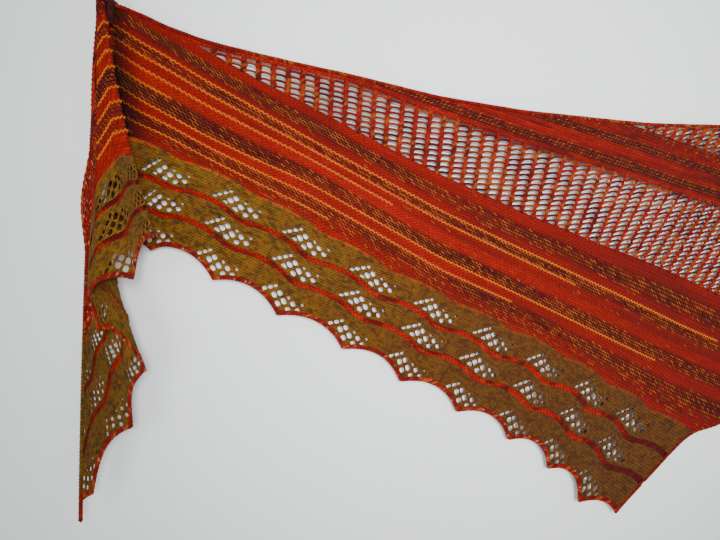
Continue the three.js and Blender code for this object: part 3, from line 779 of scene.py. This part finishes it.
# Over each point the lace is open in slanting rows of eyelets. Each has its middle as a share of the repeat
# and of the lace's height, and its size in millimetres.
eyelets = columns("along up wide tall", [
    (-0.454, -0.047, 4.4, 3.4), (-0.4, -0.008, 4.7, 3.8), (-0.338, 0.032, 4.7, 3.8), (-0.282, 0.07, 4.2, 3.0),
    (-0.297, -0.066, 4.5, 6.2), (-0.242, -0.022, 4.8, 6.6), (-0.186, 0.022, 4.9, 5.8),
    (-0.05, 0.02, 2.8, 3.4), (-0.143, -0.087, 4.8, 6.2), (-0.088, -0.036, 5.0, 6.8),
    (0.038, -0.018, 4.8, 5.4), (0.011, -0.09, 5.0, 5.0), (0.13, -0.05, 4.8, 5.0), (0.155, 0.018, 2.6, 3.2),
])
laceBands = {
    "lace_band_1": {"middle": 0.86, "aside": 0, "low": ("ridge_1", 1), "high": ("hem", 0)},
    "lace_band_2": {"middle": 0.558, "aside": 0.05, "low": ("ridge_2", 1), "high": ("ridge_1", -1)},
    "lace_band_3": {"middle": 0.2, "aside": 0.07, "low": ("edge", 1), "high": ("ridge_2", -1)},
}


lace = {
    "edgeSteps": 41, "holeSides": 12, "least": 2, "clear": 1.35, "stepAlong": 0.026, "stepUp": 1.7,
    "lastRepeat": 16, "thickness": 0.0015,
}
eyeletSlants = ((0.067, 0.05), (-0.105, 0.063))


# The line where a lace band ends, as a share of the lace's height.
def laceLine(name, side, repeat):
    if name == "hem":
        return hemPlace(repeat)
    if name == "edge":
        return (scallopDepth * wave(repeat) + 2.5 + side * 1.5) / laceHeight
    return ridgePlaces[name] + (ridgeWave * softWave(repeat) + side * 2.6) / laceHeight


# One repeat of a lace band as a flat mesh with its eyelets cut out, and how far each point is from an eyelet.
def laceCell(band, openness):
    points, edges, holes = [], [], []

    def addLoop(loop):
        start = len(points)
        points.extend(loop)
        edges.extend((start + k, start + (k + 1) % len(loop)) for k in range(len(loop)))

    steps = np.linspace(-0.5, 0.5, lace["edgeSteps"])
    low = laceLine(*band["low"], steps) * laceHeight
    high = laceLine(*band["high"], steps) * laceHeight
    outline = [*zip(steps * repeatWidth, low), *zip(steps[::-1] * repeatWidth, high[::-1])]
    addLoop(outline)
    slants = (np.array(slant) * (repeatWidth, laceHeight) for slant in eyeletSlants)
    sideways, upwards = (slant / np.linalg.norm(slant) for slant in slants)
    for along, up, wide, tall in zip(*eyelets.values()) if openness else ():
        along, up, wide, tall = along + band["aside"], up + band["middle"], wide * openness, tall * openness
        centre = np.array([along * repeatWidth, up * laceHeight])
        bottom = laceLine(*band["low"], along) * laceHeight
        top = laceLine(*band["high"], along) * laceHeight
        room = 2.2 * min(centre[1] - bottom, top - centre[1]) - 1.6
        if room < lace["least"] or abs(along) > 0.47:
            continue
        tall = min(tall, room)
        holes.append((centre, wide, tall))
        turn = np.arange(lace["holeSides"]) * fullTurn / lace["holeSides"]
        square = 1 / np.maximum(np.abs(np.cos(turn)), np.abs(np.sin(turn))) ** 0.8
        ring = centre + (np.cos(turn) * square * wide / 2)[:, None] * sideways
        ring = ring + (np.sin(turn) * square * tall / 2)[:, None] * upwards
        addLoop([tuple(p) for p in ring])

    skew = np.linalg.inv(np.stack([sideways, upwards], 1))

    def depthIn(p, hole):
        a, b = (skew @ (np.asarray(p) - hole[0]).T)
        return np.maximum(np.abs(a) / (hole[1] / 2), np.abs(b) / (hole[2] / 2))

    for a in np.arange(-0.48, 0.5, lace["stepAlong"]):
        bottom, top = (laceLine(*band[side], a) * laceHeight for side in ("low", "high"))
        for b in np.arange(bottom + 1, top - 0.8, lace["stepUp"]):
            p = (a * repeatWidth, b)
            if all(depthIn(p, h) > lace["clear"] for h in holes):
                points.append(p)
    made = delaunay_2d_cdt([Vector(p) for p in points], edges, [list(range(len(outline)))], 1, 0.0001)
    flat = np.array([tuple(v) for v in made[0]])
    faces = np.array(made[2])
    centres = flat[faces].mean(1)
    if not holes:
        return flat, faces, np.full(len(flat), 9.0)

    def roundDepth(hole):
        return np.hypot(*((skew @ (centres - hole[0]).T) / np.array([[hole[1] / 2], [hole[2] / 2]])))

    faces = faces[np.min([roundDepth(h) for h in holes], axis=0) > 1.0]
    nearest = np.min([(depthIn(flat, h) - 1) * h[1] / 2 for h in holes], axis=0)
    return flat, faces, nearest


def laceColours(along, up, nearest, number):
    stitch, row = along / 3.4, up / 2.8
    tone = drift(stitch + 13 * number, row * 1.7 + 7 * number, 6)
    shade = blend(yarn["olive"], yarn["darkOlive"], 0.25 + 0.75 * smooth(0.3, 0.9, tone))
    speck = smooth(0.55, 0.85, drift(stitch * 1.5, row * 1.3 + 3 * number, 7))
    shade = blend(shade, yarn["mustard"], 0.25 * speck)
    shade = blend(shade, yarn["brown"], 0.3 * smooth(0.66, 0.85, drift(stitch / 3, row + 9 * number, 8)))
    hemNear = smooth(1.6, 0.8, np.abs(up - hemPlace(along / repeatWidth) * laceHeight + 1.2))
    broken = smooth(0.35, 0.5, drift(stitch * 1.6, 3.0 + 0 * row, 9))
    shade = blend(shade, yarn["orange"], 0.6 * hemNear * broken)
    shade = blend(shade, yarn["brown"], 0.5 * smooth(7.5, 12, number) * (0.4 + 0.6 * tone))
    # Painted light: the lace is painted lighter towards the hook and darker towards the far end, and the yarn
    # at the rims of the eyelets is painted lighter as a highlight.
    light = 1.42 - 0.52 * smooth(6.5, 13, number)
    return shade * (light * (0.94 + 0.25 * smooth(2.2, 0.2, nearest)))[..., None]


# The eyelets of the hanging tail are drawn in, and the last repeat has none.
openness = {"cloth": 1, "tail": 0.72, "end": 0}
laceCells = {(b, part): laceCell(laceBands[b], openness[part]) for b in laceBands for part in openness}


def laceBand(sheetName, bandName):
    sheet, first, last = sheets[sheetName]
    points, shade, kept, stitches = [], [], [], []
    start = 0
    for number in range(math.ceil(first - 0.5), math.floor(last + 0.5) + 1):
        onTail = sheetName == "folded" and number < 2
        part = "end" if number == lace["lastRepeat"] else "tail" if onTail else "cloth"
        flat, faces, nearest = laceCells[bandName, part]
        repeat = np.clip(number + flat[:, 0] / repeatWidth, first, last)
        base = sheet(repeat, flat[:, 1] / laceHeight)
        a, b, c = (base[faces[:, k]] for k in range(3))
        size = np.linalg.norm(np.cross(b - a, c - a), axis=1)
        kept.append(faces[size > 0.03] + start)
        start += len(flat)
        points.append(base)
        # On the folded sheet the lace is painted darker on the hanging tail, partly as painted shade and
        # partly for its wrong side, and a little lighter elsewhere.
        light = 0.78 + 0.3 * smooth(1.7, 2.1, repeat) if sheetName == "folded" else 1 + 0 * repeat
        shade.append(laceColours(flat[:, 0], flat[:, 1], nearest, number) * light[:, None])
        stitches.append(np.stack([(flat[:, 0] + flat[:, 1] * 0.45) / 3.3 + 7 * number, flat[:, 1] / 2.7], -1))
    piece = makeMesh(sheetName + "_" + bandName + "_cloth", np.concatenate(points), np.concatenate(kept),
                     np.concatenate(shade), laceWool, np.concatenate(stitches))
    thick = piece.modifiers.new("thickness", "SOLIDIFY")
    thick.thickness = lace["thickness"]
    thick.offset = 0
    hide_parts(sheetName + "_" + bandName)
    return piece


lacePieces = {(s, b): laceBand(s, b) for s in sheets for b in laceBands}
print("lace made")


ridge = {"step": 1.1, "pointsAcross": 9, "halfWidth": 4.9, "stitch": 4.4, "rise": 1.75, "relief": 0.5}


# A narrow raised band that follows the border, two garter ridges wide.
def ridgeBand(sheetName, name):
    sheet, first, last = sheets[sheetName]
    repeat = np.arange(first, last, ridge["step"] / repeatWidth)[:, None]
    across = np.linspace(-1, 1, ridge["pointsAcross"])[None, :]
    place = ridgePlaces[name] + (ridgeWave * softWave(repeat) + across * ridge["halfWidth"]) / laceHeight
    repeat = np.broadcast_to(repeat, place.shape)
    base = sheet(repeat, place)
    stitch = repeat * repeatWidth / ridge["stitch"]
    arches = np.cos(fullTurn * (across + 0.12 * np.sin(fullTurn * stitch)))
    rise = ridge["rise"] + ridge["relief"] * arches
    rise = rise * smooth(1.06, 0.84, np.abs(across))
    points = base - normalsOf(base) * rise[..., None]
    tone = drift(stitch / 2.5, across * 1.5, 12)
    shade = blend(yarn["red"], yarn["darkRed"], 0.9 * smooth(0.3, 0.8, tone))
    shade = blend(shade, yarn["orange"], 0.3 * smooth(0.6, 0.85, drift(stitch * 1.2, across * 2, 13)))
    shade = blend(shade, yarn["wine"], 0.75 * smooth(14.1, 15.4, repeat))
    turned = smooth(2.0, 2.08, repeat) * smooth(3.36, 3.3, repeat)
    shade = blend(shade, blend(yarn["olive"], yarn["brown"], tone), 0.8 * turned)
    stitches = np.stack([stitch, 1.15 * across + 0.35 + 0 * stitch], -1)
    piece = gridMesh(sheetName + "_" + name + "_cloth", points, shade, garterWool, stitches)
    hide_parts(sheetName + "_" + name)
    return piece


ridgePieces = {(s, r): ridgeBand(s, r) for s in sheets for r in ridgePlaces}
boundEdge = {"yarns": 3, "step": 1.0, "stitch": 5.2, "above": 2.3, "wide": 1.5, "deep": 1.1, "radius": 1.35}


# The bound-off edge: three yarns wound round each other along the points and hollows of the border.
def bindOff(sheetName):
    sheet, first, last = sheets[sheetName]
    repeat = np.arange(first, last, boundEdge["step"] / repeatWidth)
    turn = repeat * repeatWidth / boundEdge["stitch"] * fullTurn
    paths, shades = [], []
    for k in range(boundEdge["yarns"]):
        phase = turn * 0.5 + k * fullTurn / boundEdge["yarns"]
        above = boundEdge["above"] + boundEdge["wide"] * np.sin(phase)
        middle = sheet(repeat, (scallopDepth * wave(repeat) + above) / laceHeight)
        middle[:, 1] -= boundEdge["deep"] * np.cos(phase)
        paths.append(middle)
        tone = drift(turn / 5 + 17 * k, 3.0 * k + 0 * turn, 14)
        shade = blend(yarn["red"], yarn["darkRed"], 0.3 + 0.6 * drift(turn / 3, 5.0 * k + 0 * turn, 25))
        shade = blend(shade, yarn["tan"], smooth(0.6, 0.85, tone) * (0.6 if k else 0.2))
        # Painted highlights: pale specks on the bound-off yarns.
        paintedGlint = smooth(0.9, 0.97, drift(turn * 0.9, 11.0 * k + 0 * turn, 26))
        shades.append(blend(shade, yarn["paintedGlint"], 0.4 * paintedGlint))
    piece = yarnMesh(sheetName + "_bind_off", np.array(paths), boundEdge["radius"], np.array(shades), wool, 6)
    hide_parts(sheetName + "_bind_off_edge")
    return piece


bindPieces = {s: bindOff(s) for s in sheets}
print("ridges and bound-off edge made")

# The net bands: thick upright bundles of yarn with thin arched pairs of strands between them.
netLook = columns("x pitch rung lean tilt", [
    (60, 15.1, 5.4, 0, 12), (250, 15.1, 5.4, 3, 12), (376, 14.3, 5.8, 9, 4), (450, 14.0, 5.9, 16, 0),
    (610, 11.4, 6.4, 33, -12), (1260, 11.4, 6.4, 33, -12),
])


# The foot and the top of each bundle. Its length depends on where it ends, so that is found by trying again.
def netColumns(lowLine, highLine, fromX, toX):
    bases, tops = [], []
    x = fromX
    while x < toX:
        slope = math.tan(math.radians(float(np.interp(x, netLook["x"], netLook["lean"]))))
        low = float(panelLine(lowLine, x))
        height = 0
        for k in range(12):
            over = x + slope * height
            height = float(min(panelLine(highLine, over), underSelvedge(over))) - low
        low = max(low, float(panelLine("side", x)))
        if height > 2 and low < float(panelLine(highLine, x)):
            bases.append((x, low))
            tops.append((x + slope * height, low + height))
        x += float(np.interp(x, netLook["x"], netLook["pitch"]))
    return np.array(bases), np.array(tops)


net = {
    "points": 30, "sway": 0.5, "swayLength": 5.5, "twist": 6.5, "apart": 1.35, "depth": 0.9,
    "knot": 2.0, "knotSwell": 0.5, "knotLength": 5.4, "strandPoints": 7, "strandRadius": 0.84, "arch": 1.3,
}


def netBundles(name, bases, tops):
    share = np.linspace(-0.02, 1.02, net["points"])[None, :, None]
    path = bases[:, None, :] * (1 - share) + tops[:, None, :] * share
    which = np.arange(len(bases))[:, None]
    z = path[..., 1]
    x = path[..., 0] + net["sway"] * np.sin(z / net["swayLength"] * math.pi + which * 2.1)
    paths, shades = [], []
    for k in range(2):
        phase = z / net["twist"] * fullTurn + k * math.pi + which
        depth = swell(x, z) + net["depth"] * np.cos(phase)
        paths.append(np.stack([x + net["apart"] * np.sin(phase), -depth, z], -1))
        tone = drift(z / 9 + 7 * which, which * 1.3 + 5 * k, 15)
        shade = blend(yarn["red"], yarn["darkRed"], 0.3 + 0.65 * smooth(0.3, 0.8, tone))
        speck = smooth(0.6, 0.75, drift(z / 4 + which, which * 0.9 + k, 16))
        shades.append(blend(shade, yarn["mustard"], 0.7 * speck))
    knots = net["knot"] + net["knotSwell"] * np.sin(z / net["knotLength"] * fullTurn + which)
    knots = knots * (1 - 0.25 * smooth(400, 620, x))
    radius = np.concatenate([knots, knots])
    return yarnMesh(name + "_bundles", np.concatenate(paths), radius, np.concatenate(shades), wool, 6)


def netStrands(name, bases, tops):
    paths, shades = [], []
    t = np.linspace(-1, 1, net["strandPoints"])
    for k in range(len(bases) - 1):
        low, high = (bases[k] + bases[k + 1]) / 2, (tops[k] + tops[k + 1]) / 2
        length = np.linalg.norm(high - low)
        step = float(np.interp(low[0], netLook["x"], netLook["rung"]))
        tilt = math.radians(float(np.interp(low[0], netLook["x"], netLook["tilt"])))
        count = max(1, int(length / step))
        half = (bases[k + 1][0] - bases[k][0]) / 2 * 1.02
        for j in range(count):
            centre = low + (high - low) * (j + 0.5) / count
            for strand in (-1, 1):
                arch = net["arch"] * (1 - t * t) + strand * (0.4 + 0.4 * t * t)
                x = centre[0] + t * half
                z = centre[1] - 0.6 - t * half * math.tan(tilt) + arch
                paths.append(np.stack([x, -swell(x, z) - 0.4 * strand, z], -1))
                tone = np.full(len(t), drift(j * 0.9 + 3 * k, k * 1.7 + strand, 17))
                shade = blend(yarn["darkRed"], yarn["red"], 0.8 * smooth(0.3, 0.6, tone))
                shades.append(blend(shade, yarn["mustard"], 0.9 * smooth(0.55, 0.7, tone)))
    return yarnMesh(name + "_strands", np.array(paths), net["strandRadius"], np.array(shades), wool, 4)


def netBand(name, *columnLines):
    ends = netColumns(*columnLines)
    return netBundles(name, *ends), netStrands(name, *ends)


netOne, netOneStrands = netBand("net_one", "netOne", "netOneTop", 88, 1080)
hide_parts("net_band_1")
netTwo, netTwoStrands = netBand("net_two", "netTwo", "netTwoTop", 600, 1170)
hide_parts("net_band_2")
print("nets made")


cord = {"step": 1.3, "apart": 0.55, "depth": 0.6, "yarn": 0.62}


# Rolled edges of two yarns each: the top, the far side, and the edge of the hanging tail.
def cordAlong(name, path, radius, turns, shadeOf):
    length = lengthsOf(path)
    steps = np.arange(0, length[-1], cord["step"])
    middle = np.stack([np.interp(steps, length, path[:, k]) for k in range(3)], -1)
    along = np.gradient(middle, axis=0)
    along /= np.linalg.norm(along, axis=1, keepdims=True)
    out = np.array([0.0, -1.0, 0.0])
    sideways = np.cross(along, out)
    paths, shades = [], []
    for k in range(2):
        phase = steps / turns * fullTurn + k * math.pi
        aside = sideways * (radius * cord["apart"] * np.sin(phase))[:, None]
        forward = out * (radius * cord["depth"] * np.cos(phase))[:, None]
        paths.append(middle + aside + forward)
        shades.append(shadeOf(steps, k))
    return yarnMesh(name, np.array(paths), radius * cord["yarn"], np.array(shades), wool, 6)


def edgeShade(steps, k):
    tone = drift(steps / 4.4, 6.0 * k + 0 * steps, 18)
    speck = smooth(0.62, 0.8, drift(steps / 3, 9.0 * k + 0 * steps, 19))
    speck = speck * smooth(0.4, 0.6, drift(steps / 40, 2.0 + 0 * steps, 31))
    return blend(blend(yarn["red"], yarn["darkRed"], 0.3 + 0.6 * tone), yarn["mustard"], 0.8 * speck)


def linePath(name, x, below):
    z = panelLine(name, x) - below
    return np.stack([x, -swell(x, z), z], -1)


topCord = cordAlong("top_edge_cord", linePath("top", np.linspace(4, 1240, 500), 2.5), 2.3, 5, edgeShade)
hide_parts("top_selvedge")
sideCord = cordAlong("side_edge_cord", linePath("side", np.linspace(560, 1240, 400), 0), 2.0, 4.4, edgeShade)


# Where the tail is lace, its edge is olive too.
def tailShade(steps, k):
    inLace = smooth(22, 40, steps) * smooth(185, 160, steps)
    tone = drift(steps / 3, 9.0 * k + 0 * steps, 33)
    return blend(edgeShade(steps, k), blend(yarn["darkOlive"], yarn["olive"], tone), inLace)


# The tail hangs 511 mm down, its edge yarns start 40 mm under the hook, and its lace is 0.31 of its length.
tail = {"long": 511, "start": 40, "lace": 0.31, "steps": 300}
tailPlaces = np.linspace(0, 1, tail["steps"]) * ((1 - tail["start"] / tail["long"]) / tail["lace"])
tailCord = cordAlong("tail_edge_cord", foldedPoint(-0.4 + 0 * tailPlaces, tailPlaces), 2.2, 4.4, tailShade)
print("edges made")


# The gathered neck: the folds run up beside the peg, over it and down again. half is half their thickness.
neckSpine = columns("x z half", [
    (-1.5, -34, 2.6), (-3, -20, 2.6), (-4, -8, 2.6), (-4.6, 0, 2.4), (-3.6, 5.4, 2.5), (0, 7.6, 2.8),
    (3.8, 5.4, 2.5), (5.2, 0, 2.6), (5.4, -8, 3.0), (5, -20, 3.0), (4, -34, 2.6),
])
neckLook = {"steps": 120, "around": 72, "back": 8, "front": 27, "pleats": 11, "pleatDepth": 0.16}


def gatheredNeck():
    at = np.linspace(0, len(neckSpine["x"]) - 1, neckLook["steps"])
    x, z, half = (np.interp(at, np.arange(len(row)), row) for row in neckSpine.values())
    x, z = (np.convolve(np.pad(v, 6, mode="edge"), np.ones(13) / 13, "valid") for v in (x, z))
    lean = np.stack([np.gradient(x), np.gradient(z)], -1)
    lean /= np.linalg.norm(lean, axis=1, keepdims=True)
    out = np.stack([-lean[:, 1], lean[:, 0]], -1)
    rise = np.clip((z + 40) / 40, 0, 1)
    back, front = neckLook["back"] + 1.5 * rise, neckLook["front"] + 1.5 * rise
    turn = np.linspace(0, fullTurn, neckLook["around"], endpoint=False)[None, :]
    pleat = 1 + neckLook["pleatDepth"] * np.cos(turn * neckLook["pleats"] + 0.3 * np.sin(at[:, None]))
    thick = half[:, None] * np.cos(turn) * pleat * 0.92
    deep = (front - back)[:, None] / 2 * np.sin(turn)
    points = np.stack([
        x[:, None] + out[:, 0:1] * thick,
        -((front + back) / 2)[:, None] - deep,
        z[:, None] + out[:, 1:2] * thick,
    ], -1)
    tone = drift(at[:, None] * 2.6, turn * 3.2, 20)
    shade = blend(yarn["red"], yarn["darkRed"], smooth(0.3, 0.8, tone))
    shade = blend(shade, yarn["mustard"], 0.7 * smooth(0.7, 0.85, drift(at[:, None] * 1.1, turn * 4.0, 21)))
    # Painted shadow: the neck is painted darker from its left side over the peg, down to a quarter of its
    # colour on the right strand, as the shade between the flap and the panel.
    clearOfPaintedShade = smooth(7, 2.5, at[:, None] + 0 * turn)
    shade = shade * (0.25 + 0.75 * clearOfPaintedShade)[..., None]
    piece = gridMesh("neck_folds", points, shade, wool, closed=True)
    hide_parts("gathered_neck")
    return piece


neck = gatheredNeck()
print("neck made")

# The hooks are plain painted metal.
hookLook = {"colour": (0.86, 0.85, 0.83), "roughness": 0.35}
hookPaint = bpy.data.materials.new("hook_paint")
hookPaint.use_nodes = True
paint = hookPaint.node_tree.nodes["Principled BSDF"]
paint.inputs["Base Color"].default_value = (*hookLook["colour"], 1)
paint.inputs["Roughness"].default_value = hookLook["roughness"]
for name in ("left_wall_hook", "right_wall_hook"):
    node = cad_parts[name]
    node.data.materials.clear()
    node.data.materials.append(hookPaint)


# The wall behind and a floor far below it are only a stage. Places and sizes from here on are in metres.
room = {"left": -3, "right": 4, "floor": -1.4, "top": 2, "front": -4, "wall": 0.0015}


def plane(name, corners, shade):
    mesh = bpy.data.meshes.new(name)
    mesh.from_pydata(corners, [], [(0, 1, 2, 3)])
    thing = bpy.data.objects.new(name, mesh)
    bpy.context.scene.collection.objects.link(thing)
    material = bpy.data.materials.new(name)
    material.use_nodes = True
    surface = material.node_tree.nodes["Principled BSDF"]
    surface.inputs["Base Color"].default_value = (*shade, 1)
    surface.inputs["Roughness"].default_value = 0.9
    mesh.materials.append(material)
    thing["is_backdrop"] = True


def stagePlane(name, low, high, shade):
    (y1, z1), (y2, z2) = low, high
    left, right = room["left"], room["right"]
    plane(name, [(left, y1, z1), (right, y1, z1), (right, y2, z2), (left, y2, z2)], shade)


stagePlane("wall", (room["wall"], room["floor"]), (room["wall"], room["top"]), (0.86, 0.88, 0.88))
stagePlane("floor", (room["front"], room["floor"]), (room["wall"], room["floor"]), (0.75, 0.76, 0.76))


# A window to the left, the room's own light, and a lamp that makes the middle of the wall brightest.
def light(name, kind, place, aim, power, look):
    lamp = bpy.data.lights.new(name, kind)
    lamp.energy = power
    for key, value in look.items():
        setattr(lamp, key, value)
    thing = bpy.data.objects.new(name, lamp)
    bpy.context.scene.collection.objects.link(thing)
    thing.location = place
    thing.rotation_euler = (Vector(aim) - Vector(place)).to_track_quat("-Z", "Y").to_euler()


lampLook = {"spot_size": math.radians(50), "spot_blend": 1, "shadow_soft_size": 0.25}
light("window_light", "AREA", (-1.05, -1.7, -0.5), (0.35, 0, -0.2), 14, {"shape": "DISK", "size": 0.9})
light("room_light", "AREA", (1.2, -2.4, 0.3), (0.35, 0, -0.2), 7, {"shape": "DISK", "size": 2.2})
light("standing_lamp", "SPOT", (0.2, -1.6, -0.1), (0.45, 0, -0.15), 190, lampLook)
world = bpy.data.worlds.new("room")
bpy.context.scene.world = world
world.use_nodes = True
world.node_tree.nodes["Background"].inputs["Color"].default_value = (0.93, 0.96, 1, 1)
world.node_tree.nodes["Background"].inputs["Strength"].default_value = 0.42

camera = bpy.data.objects.new("camera", bpy.data.cameras.new("camera"))
bpy.context.scene.collection.objects.link(camera)
camera.data.lens = 32
camera.data.sensor_width = 36
camera.location = (0.1133, -0.6792, -0.271)
camera.rotation_euler = (math.radians(90), 0, math.radians(-12))
camera.data.clip_start = 0.05
bpy.context.scene.camera = camera
print("stage made")


laceSizes = {
    ("folded", "lace_band_1"): (0.3, 0.03, 0.006),
    ("folded", "lace_band_2"): (0.3, 0.03, 0.006),
    ("folded", "lace_band_3"): (0.36, 0.03, 0.0072),
    ("flat", "lace_band_1"): (0.72, 0.032, 0.02),
    ("flat", "lace_band_2"): (0.7, 0.03, 0.017),
    ("flat", "lace_band_3"): (0.7, 0.032, 0.018),
}
trimOf = {"lace_band_1": ["ridge_1"], "lace_band_2": ["ridge_2"], "lace_band_3": []}
for (sheetName, bandName), (width, length, area) in laceSizes.items():
    extra = [ridgePieces[sheetName, ridge] for ridge in trimOf[bandName]]
    if bandName == "lace_band_3":
        extra.append(bindPieces[sheetName])

faces = [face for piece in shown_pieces() for face in piece.data.polygons]
print("sheets declared, triangles before thickness:", sum(len(face.vertices) - 2 for face in faces))
